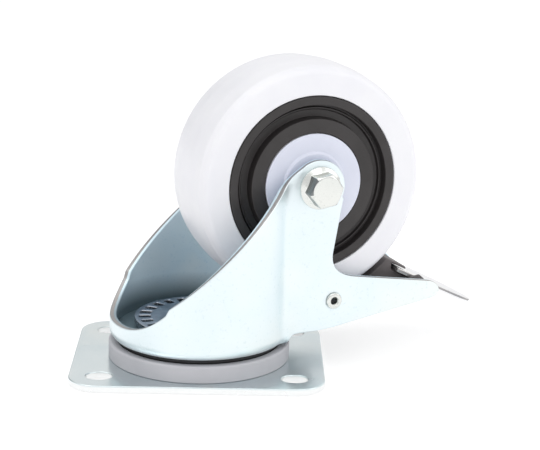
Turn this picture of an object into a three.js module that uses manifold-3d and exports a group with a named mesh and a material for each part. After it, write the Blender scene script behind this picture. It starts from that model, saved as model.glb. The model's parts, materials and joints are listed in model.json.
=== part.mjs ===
// Swivel plate castor with a foot brake, standing on its mounting plate with the wheel up.
// Millimetres, +Z up. The origin is where the swivel axis meets the plate's mounting face.
// The fork and all it carries are drawn in a frame of their own, +X along the trail and Y along
// the axle, and then turned about the swivel axis.
import * as THREE from 'three';
import { mergeVertices } from 'three/addons/utils/BufferGeometryUtils.js';
import Module from 'manifold-3d';

// ---- driving dimensions -------------------------------------------------------------------

const FORK_YAW = THREE.MathUtils.degToRad(21.1); // how far the fork stands turned from +X
const GAP = 0.3; // clearance between pieces that touch

const PLATE = { length: 105, width: 85, thickness: 3, corner: 12.5, pitchX: 80, pitchY: 60 };
const SLOT = { length: 11, width: 9 };
const RACE = {
  inner: 20, outer: 32, top: 7.5, slope: 2, hollowTop: 4.5, hollowInner: 22.8, hollowOuter: 29.6,
};
const LOWER_BALL = { count: 16, radius: 3, pitch: 27, height: 9.9 };
const UPPER_BALL = { count: 12, radius: 2, pitch: 14, height: 16.4 };
const SEAL = { inner: 33.8, outer: 38.2, top: 10.2, chamfer: 0.8 };
const LIP = { inner: 31, outer: 33.8, bottom: 8.1, flare: 34.6 }; // rubber lip between the seal and the crown
const PIN = { radius: 6, flushHead: 10.5, headDepth: 3.2, rivetHead: 9.5, rivetTop: 24.2 };
const DISC = { radius: 27.4, bottom: 17.5, top: 20, slots: 24, slotIn: 20.5, slotOut: 25.5, slotWidth: 3.4 };

const SHEET = 3; // fork sheet
const DRUM = { radius: 37.8, bottom: 12.3, boreRadius: 8, bend: 6, bottomBend: 2.2 };
const WING = { outer: 25.7, endRadius: 11.4 };
const TRAIL = 42.4; // swivel axis to axle
const AXLE_HEIGHT = 78.4;

const WHEEL = {
  radius: 50, halfWidth: 19, shoulder: 3.5, crown: 0.8, faceRadius: 46.5, bore: 16.3, hub: 21.2,
};
const GUARD = { outer: 36.7, inner: 21.5, thickness: 2, floor: 5, ledge: 1.2, groove: 2.4 };
const BEARING = {
  bore: 6.3, innerRim: 9, outerRim: 13, outer: 16, width: 10, pitch: 11, ball: 2.5, balls: 7,
};
const SLEEVE = { radius: 6, bore: 4.3 };
const BOLT = {
  radius: 4, acrossFlats: 13, head: 8, flange: 8.95, flangeEdge: 1.2, chamfer: 1.3, nut: 7, tail: 2,
};
const HEX_TURN = THREE.MathUtils.degToRad(9); // how far a corner of the hexagons stands above +X
const WASHER = { radius: 8.5, thickness: 1.6 };

const PIVOT = { x: 50.3, z: 29.3, rivet: 2.9, hole: 3.2, bore: 1.4 };
const CHEEK = { inner: 19.9, outer: 21.9, back: 43.4, front: 97, frontTop: 29.4, kinkTop: 35 };
const WEB = { left: 30, kink: 60, right: 103, rise: 5.2, bottom: 22.6, thickness: 2 };
const TONGUE = { slope: 0.5, top: 80.2, halfWidth: 16, thickness: 1.8, start: 84.6, tip: 127, nose: 20 };
const SHOE = {
  gap: 2.8, halfWidth: 13, cover: 1.7, slit: 0.6, low: 60, high: 79.4, coverEnd: 90, bodyEnd: 93,
};
const EAR = { left: 89.5, right: 97.2, peak: 94.2, rise: 1.3, inner: 16.3, outer: 17.6, bridgeEnd: 94 };
const PAWL = { left: 20.6, right: 44, halfWidth: 8, thickness: 1.6, tooth: 2.4, toothTip: 20.45 };
const PAWL_RIVET = { x: 38, y: 6 };
const SPRING = { halfWidth: 5, thickness: 0.8, footLeft: 28.6, footRight: 36 };
const SPRING_RIVET_X = 32.4;
const SMALL_RIVET = { shank: 1.5, head: 2.6, rise: 0.7, hole: 1.8 };

// ---- solids -------------------------------------------------------------------------------

const wasm = await Module();
wasm.setup();

/** A closed geometry as a solid that can be cut and joined. */
function solidOf(geometry) {
  const bare = geometry.clone();
  bare.deleteAttribute('normal');
  bare.deleteAttribute('uv');
  const merged = mergeVertices(bare, 1e-4);
  const corners = merged.index.array;
  const triangles = [];
  for (let i = 0; i < corners.length; i += 3) {
    const [a, b, c] = [corners[i], corners[i + 1], corners[i + 2]];
    if (a !== b && b !== c && c !== a) triangles.push(a, b, c);
  }
  const vertProperties = new Float32Array(merged.attributes.position.array);
  const mesh = new wasm.Mesh({ numProp: 3, vertProperties, triVerts: new Uint32Array(triangles) });
  return new wasm.Manifold(mesh);
}

/** A solid as a geometry with flat normals. */
function geometryOf(solid) {
  const mesh = solid.getMesh();
  const geometry = new THREE.BufferGeometry();
  geometry.setAttribute('position', new THREE.BufferAttribute(new Float32Array(mesh.vertProperties), 3));
  geometry.setIndex(new THREE.BufferAttribute(new Uint32Array(mesh.triVerts), 1));
  geometry.computeVertexNormals();
  return geometry;
}

const join = (first, ...others) => others.reduce((sum, other) => sum.add(other), first);
const cut = (first, ...others) => others.reduce((rest, other) => rest.subtract(other), first);

/** Turn a profile of [radius, height] points, counter-clockwise, about Y. */
function turnedY(profile, segments) {
  const points = [...profile, profile[0]].map(([r, h]) => new THREE.Vector2(r, h));
  return solidOf(new THREE.LatheGeometry(points, segments));
}

/** Turn a profile of [radius, height] points, counter-clockwise, about Z. */
function turnedZ(profile, segments) {
  const points = [...profile, profile[0]].map(([r, h]) => new THREE.Vector2(r, h));
  return solidOf(new THREE.LatheGeometry(points, segments).rotateX(Math.PI / 2));
}

/** Extrude a plan outline upwards from z0 to z1. */
function raised(shape, z0, z1, curveSegments = 12) {
  const geometry = new THREE.ExtrudeGeometry(shape, { depth: z1 - z0, bevelEnabled: false, curveSegments });
  return solidOf(geometry.translate(0, 0, z0));
}

/** Extrude a side outline, drawn in X and Z, across from y0 to y1. */
function across(shape, y0, y1, curveSegments = 12) {
  const geometry = new THREE.ExtrudeGeometry(shape, { depth: y1 - y0, bevelEnabled: false, curveSegments });
  return solidOf(geometry.rotateX(Math.PI / 2).translate(0, y1, 0));
}

/** A box between two corners. */
function block([x0, y0, z0], [x1, y1, z1]) {
  const geometry = new THREE.BoxGeometry(x1 - x0, y1 - y0, z1 - z0);
  return solidOf(geometry.translate((x0 + x1) / 2, (y0 + y1) / 2, (z0 + z1) / 2));
}

/** A round bar along Y. */
function barY(x, z, radius, y0, y1, segments = 24) {
  const geometry = new THREE.CylinderGeometry(radius, radius, y1 - y0, segments);
  return solidOf(geometry.translate(x, (y0 + y1) / 2, z));
}

/** A round bar along Z. */
function barZ(x, y, radius, z0, z1, segments = 20) {
  const geometry = new THREE.CylinderGeometry(radius, radius, z1 - z0, segments);
  return solidOf(geometry.rotateX(Math.PI / 2).translate(x, y, (z0 + z1) / 2));
}

/** A hexagonal bar along Y through the axle. */
function hexY(acrossFlats, y0, y1) {
  const corner = acrossFlats / Math.sqrt(3);
  const geometry = new THREE.CylinderGeometry(corner, corner, y1 - y0, 6, 1, false, Math.PI / 2 - HEX_TURN);
  return solidOf(geometry.translate(TRAIL, (y0 + y1) / 2, AXLE_HEIGHT));
}

/** A full circle of profile points, counter-clockwise. */
function circleProfile(centreR, centreH, radius, count) {
  return Array.from({ length: count }, (_, i) => {
    const angle = (2 * Math.PI * i) / count;
    return [centreR + radius * Math.cos(angle), centreH + radius * Math.sin(angle)];
  });
}

/** Closed outline through [x, y] points. */
function outline(points) {
  return new THREE.Shape(points.map(([x, y]) => new THREE.Vector2(x, y)));
}

/** Round slot, long along X. */
function slotShape(x, y, length, width) {
  const r = width / 2;
  const reach = length / 2 - r;
  const shape = new THREE.Shape();
  shape.moveTo(x - reach, y - r);
  shape.lineTo(x + reach, y - r);
  shape.absarc(x + reach, y, r, -Math.PI / 2, Math.PI / 2, false);
  shape.lineTo(x - reach, y + r);
  shape.absarc(x - reach, y, r, Math.PI / 2, (3 * Math.PI) / 2, false);
  return shape;
}

/** A ring of balls held by a thin flat cage, about Z. */
function ballRing({ count, radius, pitch, height }, cageHalfWidth, cageHalfThickness) {
  const low = height - cageHalfThickness;
  const high = height + cageHalfThickness;
  const [inner, outer] = [pitch - cageHalfWidth, pitch + cageHalfWidth];
  let ring = turnedZ([[inner, low], [outer, low], [outer, high], [inner, high]], count);
  for (let i = 0; i < count; i += 1) {
    const angle = (2 * Math.PI * i) / count;
    const ball = new THREE.SphereGeometry(radius, 6, 4).rotateX(Math.PI / 2);
    ring = ring.add(solidOf(ball.translate(pitch * Math.cos(angle), pitch * Math.sin(angle), height)));
  }
  return ring;
}

// ---- materials ----------------------------------------------------------------------------

const FINISH = {
  zinc: { color: 0xc9d3d6, roughness: 0.35, metalness: 0.9 },
  steel: { color: 0xb8bcc0, roughness: 0.25, metalness: 1.0 },
  darkSteel: { color: 0x4c5058, roughness: 0.45, metalness: 0.8 },
  whitePlastic: { color: 0xf1f1f5, roughness: 0.4, metalness: 0.0 },
  lilacPlastic: { color: 0xdcdcf0, roughness: 0.45, metalness: 0.0 },
  greyPlastic: { color: 0xb4b4bd, roughness: 0.55, metalness: 0.0 },
  blackPlastic: { color: 0x38383b, roughness: 0.5, metalness: 0.0 },
};

/** A named mesh with a material of its own, placed in a group. */
function place(group, name, finish, solid) {
  const mesh = new THREE.Mesh(geometryOf(solid), new THREE.MeshStandardMaterial(FINISH[finish]));
  mesh.name = name;
  group.add(mesh);
}

// ---- swivel head --------------------------------------------------------------------------

function topPlate() {
  const { length, width, thickness, corner, pitchX, pitchY } = PLATE;
  const [x, y] = [length / 2, width / 2];
  const shape = new THREE.Shape();
  shape.moveTo(-x + corner, -y);
  shape.lineTo(x - corner, -y);
  shape.absarc(x - corner, -y + corner, corner, -Math.PI / 2, 0, false);
  shape.lineTo(x, y - corner);
  shape.absarc(x - corner, y - corner, corner, 0, Math.PI / 2, false);
  shape.lineTo(-x + corner, y);
  shape.absarc(-x + corner, y - corner, corner, Math.PI / 2, Math.PI, false);
  shape.lineTo(-x, -y + corner);
  shape.absarc(-x + corner, -y + corner, corner, Math.PI, (3 * Math.PI) / 2, false);
  for (const sx of [-1, 1]) {
    for (const sy of [-1, 1]) {
      shape.holes.push(slotShape((sx * pitchX) / 2, (sy * pitchY) / 2, SLOT.length, SLOT.width));
    }
  }
  const sheet = raised(shape, 0, thickness, 8);
  const ridge = turnedZ([
    [RACE.inner - RACE.slope, thickness / 2], [RACE.outer + RACE.slope / 2, thickness / 2],
    [RACE.outer + RACE.slope / 2, thickness], [RACE.outer, RACE.top], [RACE.inner, RACE.top],
    [RACE.inner - RACE.slope, thickness],
  ], 48);
  const hollow = turnedZ([
    [RACE.hollowInner - RACE.slope, -1], [RACE.hollowOuter + RACE.slope / 2, -1],
    [RACE.hollowOuter, RACE.hollowTop], [RACE.hollowInner, RACE.hollowTop],
  ], 36);
  const groove = turnedZ(circleProfile(LOWER_BALL.pitch, LOWER_BALL.height, LOWER_BALL.radius + 0.4, 8), 36);
  const shaft = PIN.radius + GAP;
  const countersink = turnedZ([
    [0, -1], [PIN.flushHead + GAP + 1.4, -1], [shaft, PIN.headDepth - 0.2], [shaft, RACE.top], [0, RACE.top],
  ], 24);
  return cut(join(sheet, ridge), hollow, groove, countersink);
}

function kingPin() {
  const neck = DISC.top + GAP;
  return turnedZ([
    [0, 0], [PIN.flushHead, 0], [PIN.radius, PIN.headDepth], [PIN.radius, neck], [PIN.rivetHead, neck],
    [PIN.rivetHead - 1, PIN.rivetTop - 1.8], [PIN.radius, PIN.rivetTop - 0.5], [2, PIN.rivetTop],
    [0, PIN.rivetTop],
  ], 24);
}

function dustSealRing() {
  const { inner, outer, top, chamfer } = SEAL;
  return turnedZ([
    [inner, PLATE.thickness], [outer, PLATE.thickness], [outer, top - chamfer], [outer - chamfer, top],
    [inner, top],
  ], 48);
}

/** Soft lip that closes the space between the seal ring and the fork's crown. */
function dustSealLip() {
  const { inner, outer, bottom, flare } = LIP;
  const top = DRUM.bottom - GAP;
  return turnedZ([
    [inner, bottom], [outer, bottom], [outer, SEAL.top + GAP], [flare, SEAL.top + GAP], [flare, top],
    [inner, top],
  ], 48);
}

/** The lock disc's slots are spaced so that one always faces the pawl at whole steps of the fork. */
function swivelLockDisc() {
  const shape = new THREE.Shape();
  shape.absarc(0, 0, DISC.radius, 0, 2 * Math.PI, false);
  const bore = new THREE.Path();
  bore.absarc(0, 0, PIN.radius + GAP, 0, 2 * Math.PI, true);
  shape.holes.push(bore);
  for (let i = 0; i < DISC.slots; i += 1) {
    const turn = FORK_YAW + (2 * Math.PI * i) / DISC.slots;
    const corners = [
      [DISC.slotIn, -DISC.slotWidth / 2], [DISC.slotOut, -DISC.slotWidth / 2],
      [DISC.slotOut, DISC.slotWidth / 2], [DISC.slotIn, DISC.slotWidth / 2],
    ];
    const [c, s] = [Math.cos(turn), Math.sin(turn)];
    shape.holes.push(outline(corners.map(([x, y]) => [c * x - s * y, s * x + c * y])));
  }
  const groove = turnedZ(circleProfile(UPPER_BALL.pitch, UPPER_BALL.height, UPPER_BALL.radius + 0.4, 8), 24);
  return cut(raised(shape, DISC.bottom, DISC.top, 20), groove);
}

// ---- fork ---------------------------------------------------------------------------------

/** Points of the drum-and-wings band in plan, `inset` inside the outer face. */
function bandContour(inset, xEnd) {
  const radius = DRUM.radius - inset;
  const half = WING.outer - inset;
  const bend = DRUM.bend + inset;
  const centreY = half + bend;
  const centreX = Math.sqrt((radius + bend) ** 2 - centreY ** 2);
  const meet = Math.atan2(centreY, centreX);
  const points = [[xEnd, -half]];
  const arc = (cx, cy, r, from, to, steps) => {
    for (let i = 0; i <= steps; i += 1) {
      const angle = from + ((to - from) * i) / steps;
      points.push([cx + r * Math.cos(angle), cy + r * Math.sin(angle)]);
    }
  };
  arc(centreX, -centreY, bend, Math.PI / 2, Math.PI - meet, 5);
  arc(0, 0, radius, -meet - Math.PI / 36, meet - 2 * Math.PI + Math.PI / 36, 36);
  arc(centreX, centreY, bend, meet - Math.PI, -Math.PI / 2, 5);
  points.push([xEnd, half]);
  return points;
}

/** The fork seen from the side: everything under the rim, the wing and its tail. */
function forkSideOutline() {
  const shape = new THREE.Shape();
  shape.moveTo(-40, DRUM.bottom);
  shape.lineTo(30.4, DRUM.bottom);
  shape.lineTo(30.6, 13.6);
  shape.quadraticCurveTo(31.5, 16.2, 34.5, 16.3);
  shape.lineTo(43.9, 16.7);
  shape.quadraticCurveTo(50, 17.2, 56.2, 18.6);
  shape.lineTo(95.6, 26.1);
  shape.quadraticCurveTo(100, 27, 99.6, 30);
  shape.quadraticCurveTo(98.8, 33.4, 93.5, 34.1);
  shape.lineTo(60, 38.9);
  shape.quadraticCurveTo(48.6, 40.6, 49.4, 49.5);
  shape.lineTo(53.4, 73.2);
  shape.absarc(TRAIL, AXLE_HEIGHT, WING.endRadius, -0.42, 2.3, false);
  shape.quadraticCurveTo(29.6, 83.6, 26, 79.2);
  shape.lineTo(-22.9, 33.2);
  shape.lineTo(-23.3, 31.2);
  shape.quadraticCurveTo(-31.2, 21.3, -37.5, 20.7);
  shape.lineTo(-40, 20.7);
  return shape;
}

/** Everything inside the drum and wings, with the bend where the sheet turns under to the crown. */
function forkEnvelope(xEnd) {
  const { bottom, bottomBend } = DRUM;
  const rows = [0, 0.4, 1.5, bottomBend].map((rise) => {
    const inset = bottomBend - Math.sqrt(bottomBend ** 2 - (bottomBend - rise) ** 2);
    return bandContour(inset, xEnd).reverse().map(([x, y]) => [x, y, bottom + rise]);
  });
  rows.push(rows.at(-1).map(([x, y]) => [x, y, AXLE_HEIGHT + 2 * WING.endRadius]));
  const count = rows[0].length;
  const cap = THREE.ShapeUtils.triangulateShape(rows[0].map(([x, y]) => new THREE.Vector2(x, y)), []);
  const last = (rows.length - 1) * count;
  const corners = cap.flatMap(([a, b, c]) => [c, b, a, last + a, last + b, last + c]);
  for (let level = 0; level < rows.length - 1; level += 1) {
    for (let i = 0; i < count; i += 1) {
      const [low, lowNext] = [level * count + i, level * count + ((i + 1) % count)];
      corners.push(low, lowNext, lowNext + count, low, lowNext + count, low + count);
    }
  }
  const geometry = new THREE.BufferGeometry();
  geometry.setAttribute('position', new THREE.Float32BufferAttribute(rows.flat(2), 3));
  geometry.setIndex(corners);
  return solidOf(geometry);
}

function fork() {
  const xEnd = 104;
  const band = outline([...bandContour(0, xEnd), ...bandContour(SHEET, xEnd).reverse()]);
  const wall = raised(band, DRUM.bottom, AXLE_HEIGHT + 2 * WING.endRadius);
  const shell = wall.intersect(across(forkSideOutline(), -40, 40, 8));
  const rim = DRUM.radius - SHEET / 2;
  const crownTop = DRUM.bottom + SHEET;
  const crown = turnedZ([
    [DRUM.boreRadius, DRUM.bottom], [rim, DRUM.bottom], [rim, crownTop], [DRUM.boreRadius, crownTop],
  ], 40);
  const holes = [
    turnedZ(circleProfile(LOWER_BALL.pitch, LOWER_BALL.height, LOWER_BALL.radius + 0.4, 8), 36),
    turnedZ(circleProfile(UPPER_BALL.pitch, UPPER_BALL.height, UPPER_BALL.radius + 0.4, 8), 24),
    barY(TRAIL, AXLE_HEIGHT, BOLT.radius + GAP, -40, 40),
    barY(PIVOT.x, PIVOT.z, PIVOT.hole, -40, 40),
    barZ(SPRING_RIVET_X, 0, SMALL_RIVET.hole, 10, 18),
  ];
  return cut(join(shell, crown).intersect(forkEnvelope(xEnd)), ...holes);
}

// ---- axle and wheel bearings, drawn about Y and then moved to the axle ---------------------

const onAxle = (solid) => solid.translate([TRAIL, 0, AXLE_HEIGHT]);
const mirroredY = (profile, side) => (side > 0 ? profile : profile.map(([r, y]) => [r, -y]).reverse());

/** Hexagon bolt with its flange in one piece with the head. */
function axleBolt() {
  const seat = -WING.outer - 0.1;
  const end = seat - BOLT.head;
  const tip = WING.outer + WASHER.thickness + BOLT.nut + BOLT.tail;
  const flat = BOLT.acrossFlats / 2;
  const flange = onAxle(turnedY([
    [0, seat - 3.2], [flat - 0.3, seat - 3.2], [BOLT.flange, seat - BOLT.flangeEdge], [BOLT.flange, seat],
    [0, seat],
  ], 32));
  const crown = onAxle(turnedY([
    [0, end], [flat - 0.3, end], [flat + 2, end + BOLT.chamfer], [flat + 2, seat], [0, seat],
  ], 32));
  const head = hexY(BOLT.acrossFlats, end, seat - 1).intersect(crown);
  return join(head, flange, barY(TRAIL, AXLE_HEIGHT, BOLT.radius, seat - 1, tip));
}

function lockNut() {
  const seat = WING.outer + WASHER.thickness + 0.1;
  const nut = hexY(BOLT.acrossFlats, seat, seat + BOLT.nut);
  return cut(nut, barY(TRAIL, AXLE_HEIGHT, BOLT.radius + GAP, seat - 1, seat + BOLT.nut + 1));
}

function nutWasher() {
  const near = WING.outer + 0.05;
  const far = near + WASHER.thickness;
  const inner = BOLT.radius + GAP;
  return onAxle(turnedY([[inner, near], [WASHER.radius, near], [WASHER.radius, far], [inner, far]], 24));
}

function axleSleeve() {
  const half = WING.outer - SHEET - 0.1;
  return onAxle(turnedY([
    [SLEEVE.bore, -half], [SLEEVE.radius, -half], [SLEEVE.radius, half], [SLEEVE.bore, half],
  ], 24));
}

/** Middle plane of each wheel bearing. */
const BEARING_Y = WHEEL.halfWidth - 0.5 - BEARING.width / 2;

/** Ball track shared by both races of a wheel bearing. */
function ballTrack(y) {
  return turnedY(circleProfile(BEARING.pitch, y, BEARING.ball + 0.4, 6), 20);
}

function bearingRace(inner, outer, side) {
  const [y0, y1] = [BEARING_Y - BEARING.width / 2, BEARING_Y + BEARING.width / 2];
  const profile = mirroredY([[inner, y0], [outer, y0], [outer, y1], [inner, y1]], side);
  return onAxle(cut(turnedY(profile, 20), ballTrack(side * BEARING_Y)));
}

function bearingCage(side) {
  const ring = { count: BEARING.balls, radius: BEARING.ball, pitch: BEARING.pitch, height: 0 };
  return onAxle(ballRing(ring, 0.8, 0.8).rotate([90, 0, 0]).translate([0, side * BEARING_Y, 0]));
}

// ---- wheel --------------------------------------------------------------------------------

function wheelBody() {
  const { radius, halfWidth, shoulder, crown, faceRadius, bore, hub } = WHEEL;
  const rim = GUARD.outer + GAP;
  const recess = halfWidth - 8;
  const edge = radius - crown;
  const half = [
    [bore, 0], [bore, halfWidth - 0.5], [hub, halfWidth - 0.5], [hub, recess], [rim, recess],
    [rim, halfWidth], [faceRadius, halfWidth], [faceRadius + shoulder * 0.5, halfWidth - 0.6],
    [faceRadius + shoulder * 0.87, halfWidth - 2], [edge, halfWidth - 4.5], [radius - 0.2, halfWidth / 2],
    [radius, 0],
  ];
  const profile = [...half.slice().reverse(), ...half.slice(1, -1).map(([r, y]) => [r, -y])];
  return onAxle(turnedY(profile, 48));
}

/** Ringed cover on the wheel's face: flat rim, groove, ledge, deep groove and flat inner band. */
function threadGuard(side) {
  const face = WHEEL.halfWidth;
  const back = face - GUARD.thickness;
  const { floor, ledge, groove } = GUARD;
  const front = [
    [GUARD.inner, face], [27.3, face], [27.6, face - floor + 0.8], [29.8, face - floor + 0.8],
    [30, face - ledge], [31.6, face - ledge], [31.9, face - groove], [32.8, face - groove], [33, face],
    [GUARD.outer, face],
  ].reverse();
  const rear = [
    [GUARD.inner, back], [25.8, back], [26.2, face - floor], [32.6, face - floor], [33.6, back],
    [GUARD.outer, back],
  ];
  return onAxle(turnedY(mirroredY([...rear, ...front], side), 32));
}

function hubCap(side) {
  const under = WHEEL.halfWidth - 0.5 + 0.15;
  const face = under + 0.7;
  const profile = [
    [8.6, under], [21.2, under], [21.2, face - 0.2], [20.9, face], [13.4, face], [12.8, face + 0.8],
    [8.6, face + 0.8],
  ];
  return onAxle(turnedY(mirroredY(profile, side), 32));
}

// ---- brake --------------------------------------------------------------------------------

/** Height of the tongue's upper face at x. */
const tongueTop = (x) => TONGUE.top - TONGUE.slope * x;

function brakeLever() {
  const { slope, halfWidth, thickness, start, tip, nose } = TONGUE;
  const stretch = Math.sqrt(1 + slope ** 2);
  const plan = new THREE.Shape();
  plan.moveTo(start, -halfWidth);
  plan.lineTo(tip - nose, -halfWidth);
  plan.absellipse(tip - nose, 0, nose, halfWidth, -Math.PI / 2, Math.PI / 2, false);
  plan.lineTo(start, halfWidth);
  const column = raised(plan, 0, 60, 16);
  const drop = thickness * stretch;
  const slant = across(outline([
    [start - 1, tongueTop(start - 1) - drop], [tip + 1, tongueTop(tip + 1) - drop],
    [tip + 1, tongueTop(tip + 1)], [start - 1, tongueTop(start - 1)],
  ]), -halfWidth - 1, halfWidth + 1);
  const tongue = column.intersect(slant);

  const low = WEB.bottom;
  const high = low + WEB.thickness;
  const { left, kink, right, rise } = WEB;
  const web = across(outline([
    [left, low], [kink, low], [right, low + rise], [right - 1, high + rise - 0.1], [kink, high], [left, high],
  ]), -CHEEK.outer, CHEEK.outer);

  const { back, front, frontTop, kinkTop } = CHEEK;
  const cheekSide = new THREE.Shape();
  cheekSide.moveTo(back + 1.6, low);
  cheekSide.lineTo(kink, low);
  cheekSide.lineTo(front, low + (rise * (front - kink)) / (right - kink));
  cheekSide.lineTo(front, frontTop);
  cheekSide.lineTo(kink, kinkTop);
  cheekSide.quadraticCurveTo(52, 36.6, 46.5, 34.2);
  cheekSide.quadraticCurveTo(43, 31, back, 27);
  const cheeks = join(
    across(cheekSide, -CHEEK.outer, -CHEEK.inner, 6),
    across(cheekSide, CHEEK.inner, CHEEK.outer, 6),
  );
  const holes = [barY(PIVOT.x, PIVOT.z, PIVOT.hole, -24, 24)];
  for (const side of [-1, 1]) holes.push(barZ(PAWL_RIVET.x, side * PAWL_RIVET.y, SMALL_RIVET.hole, 20, 26));
  const [wide, narrow] = [CHEEK.outer, halfWidth + 0.01];
  const tapered = raised(outline([
    [0, -wide - 1], [front - 1, -wide - 1], [front - 1, -wide], [right - 1, -narrow], [tip + 1, -narrow],
    [tip + 1, narrow], [right - 1, narrow], [front - 1, wide], [front - 1, wide + 1], [0, wide + 1],
  ]), 0, 60);
  return cut(join(web, cheeks, tongue).intersect(tapered), ...holes);
}

/** Height of the web's upper face at x, with the clearance over it. */
const overWeb = (x) => WEB.bottom + WEB.thickness + GAP
  + (Math.max(0, x - WEB.kink) * WEB.rise) / (WEB.right - WEB.kink);

/** Wedge between the lever's web and the wheel, slit for the tongue, with an ear at each side of it. */
function brakeShoe() {
  const reach = WHEEL.radius + SHOE.gap;
  const angleAt = (x) => -Math.acos((x - TRAIL) / reach);
  const { halfWidth, cover, slit, low, high, coverEnd, bodyEnd } = SHOE;
  const { slope, thickness, start } = TONGUE;
  const drop = thickness * Math.sqrt(1 + slope ** 2) + GAP;
  const shape = new THREE.Shape();
  shape.moveTo(low, overWeb(low));
  shape.lineTo(bodyEnd, overWeb(bodyEnd));
  shape.lineTo(bodyEnd, tongueTop(bodyEnd) - drop);
  shape.lineTo(coverEnd, tongueTop(coverEnd));
  shape.lineTo(coverEnd, tongueTop(coverEnd) + cover * 0.7);
  shape.lineTo(coverEnd - 1, tongueTop(coverEnd - 1) + cover);
  shape.lineTo(high + 1.2, tongueTop(high + 1.2) + cover);
  shape.absarc(TRAIL, AXLE_HEIGHT, reach, angleAt(high), angleAt(low), true);
  const wedge = across(shape, -halfWidth, halfWidth, 12);
  const socket = across(outline([
    [start - GAP, tongueTop(start) - drop], [100, tongueTop(100) - drop],
    [100, tongueTop(100) + slit], [start - GAP, tongueTop(start) + slit],
  ]), -halfWidth - 1, halfWidth + 1);
  const { left, right, peak, rise, inner, outer, bridgeEnd } = EAR;
  const ear = outline([
    [left, overWeb(left)], [right - 1, overWeb(right - 1)], [right, tongueTop(right)],
    [peak, tongueTop(peak) + rise], [left, tongueTop(left) - 1.8],
  ]);
  const bridge = outline([
    [left, overWeb(left)], [bridgeEnd, overWeb(bridgeEnd)], [bridgeEnd, tongueTop(bridgeEnd) - drop],
    [left, tongueTop(left) - drop],
  ]);
  const ears = [
    across(ear, -outer, -inner), across(bridge, -outer, 1 - halfWidth),
    across(ear, inner, outer), across(bridge, halfWidth - 1, outer),
  ];
  return join(cut(wedge, socket), ...ears);
}

function lockPawl() {
  const bottom = WEB.bottom + WEB.thickness + GAP / 2;
  const { left, right, halfWidth, thickness, tooth, toothTip } = PAWL;
  const leaf = block([left, -halfWidth, bottom], [right, halfWidth, bottom + thickness]);
  const pitch = (2 * Math.PI) / DISC.slots;
  const teeth = [-1, 0, 1].map((step) => {
    const bar = block([21.4, -tooth / 2, toothTip], [23.4, tooth / 2, bottom + thickness / 2]);
    return bar.rotate([0, 0, THREE.MathUtils.radToDeg(step * pitch)]);
  });
  const holes = [-1, 1].map(
    (side) => barZ(PAWL_RIVET.x, side * PAWL_RIVET.y, SMALL_RIVET.hole, bottom - 1, bottom + 4),
  );
  return cut(join(leaf, ...teeth), ...holes);
}

/** A small solid rivet along Z with a head at each end. */
function rivetZ(x, y, low, high) {
  const { shank, head, rise } = SMALL_RIVET;
  return turnedZ([
    [0, low], [head, low], [head, low + rise], [shank, low + rise], [shank, high - rise],
    [head, high - rise], [head * 0.8, high], [0, high],
  ], 16).translate([x, y, 0]);
}

/** Hollow rivet through one wing and the lever's cheek behind it. */
function brakeRivet(side) {
  const inner = CHEEK.inner - 0.2;
  const seat = WING.outer + 0.1;
  const profile = [
    [PIVOT.bore, inner], [PIVOT.rivet, inner], [PIVOT.rivet, seat], [PIVOT.rivet + 0.7, seat],
    [PIVOT.rivet + 0.5, seat + 0.8], [PIVOT.bore + 0.4, seat + 1.1], [PIVOT.bore, seat + 0.8],
  ];
  return turnedY(mirroredY(profile, side), 20).translate([PIVOT.x, 0, PIVOT.z]);
}

/** Bent leaf from the fork's crown to the lever's web under its pivot. */
function detentSpring() {
  const { halfWidth, thickness, footLeft, footRight } = SPRING;
  const foot = DRUM.bottom + SHEET + GAP;
  const tip = WEB.bottom - GAP - thickness;
  const leaf = across(outline([
    [footLeft, foot], [footRight, foot], [48, tip], [52, tip], [52, tip + thickness],
    [47.6, tip + thickness], [footRight - 0.3, foot + thickness], [footLeft, foot + thickness],
  ]), -halfWidth, halfWidth);
  return cut(leaf, barZ(SPRING_RIVET_X, 0, SMALL_RIVET.hole, foot - 1, foot + 3));
}

/** Rivet that holds the spring's foot, flush with the crown's lower face. */
function springRivet() {
  const { shank, head, rise } = SMALL_RIVET;
  const [low, high] = [DRUM.bottom + 0.1, DRUM.bottom + SHEET + 2.2];
  return turnedZ([
    [0, low], [shank, low], [shank, high - rise], [head, high - rise], [head * 0.8, high], [0, high],
  ], 16).translate([SPRING_RIVET_X, 0, 0]);
}

// ---- assembly -----------------------------------------------------------------------------

const castor = new THREE.Group();
place(castor, 'top_plate', 'zinc', topPlate());
place(castor, 'king_pin', 'steel', kingPin());
place(castor, 'dust_seal_ring', 'greyPlastic', dustSealRing());
place(castor, 'dust_seal_lip', 'blackPlastic', dustSealLip());
place(castor, 'swivel_lock_disc', 'darkSteel', swivelLockDisc());
place(castor, 'lower_ball_cage', 'steel', ballRing(LOWER_BALL, 1.4, 0.4));
place(castor, 'upper_ball_cage', 'steel', ballRing(UPPER_BALL, 1, 0.3));

const turning = new THREE.Group();
turning.rotation.z = FORK_YAW;
castor.add(turning);
place(turning, 'fork', 'zinc', fork());
place(turning, 'axle_bolt', 'zinc', axleBolt());
place(turning, 'nut_washer', 'zinc', nutWasher());
place(turning, 'lock_nut', 'zinc', lockNut());
place(turning, 'axle_sleeve', 'steel', axleSleeve());
place(turning, 'wheel_body', 'whitePlastic', wheelBody());
for (const [side, word] of [[-1, 'near'], [1, 'far']]) {
  place(turning, `bearing_inner_${word}`, 'steel', bearingRace(BEARING.bore, BEARING.innerRim, side));
  place(turning, `bearing_outer_${word}`, 'steel', bearingRace(BEARING.outerRim, BEARING.outer, side));
  place(turning, `bearing_cage_${word}`, 'steel', bearingCage(side));
  place(turning, `thread_guard_${word}`, 'blackPlastic', threadGuard(side));
  place(turning, `hub_cap_${word}`, 'lilacPlastic', hubCap(side));
  place(turning, `brake_rivet_${word}`, 'zinc', brakeRivet(side));
}
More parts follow.
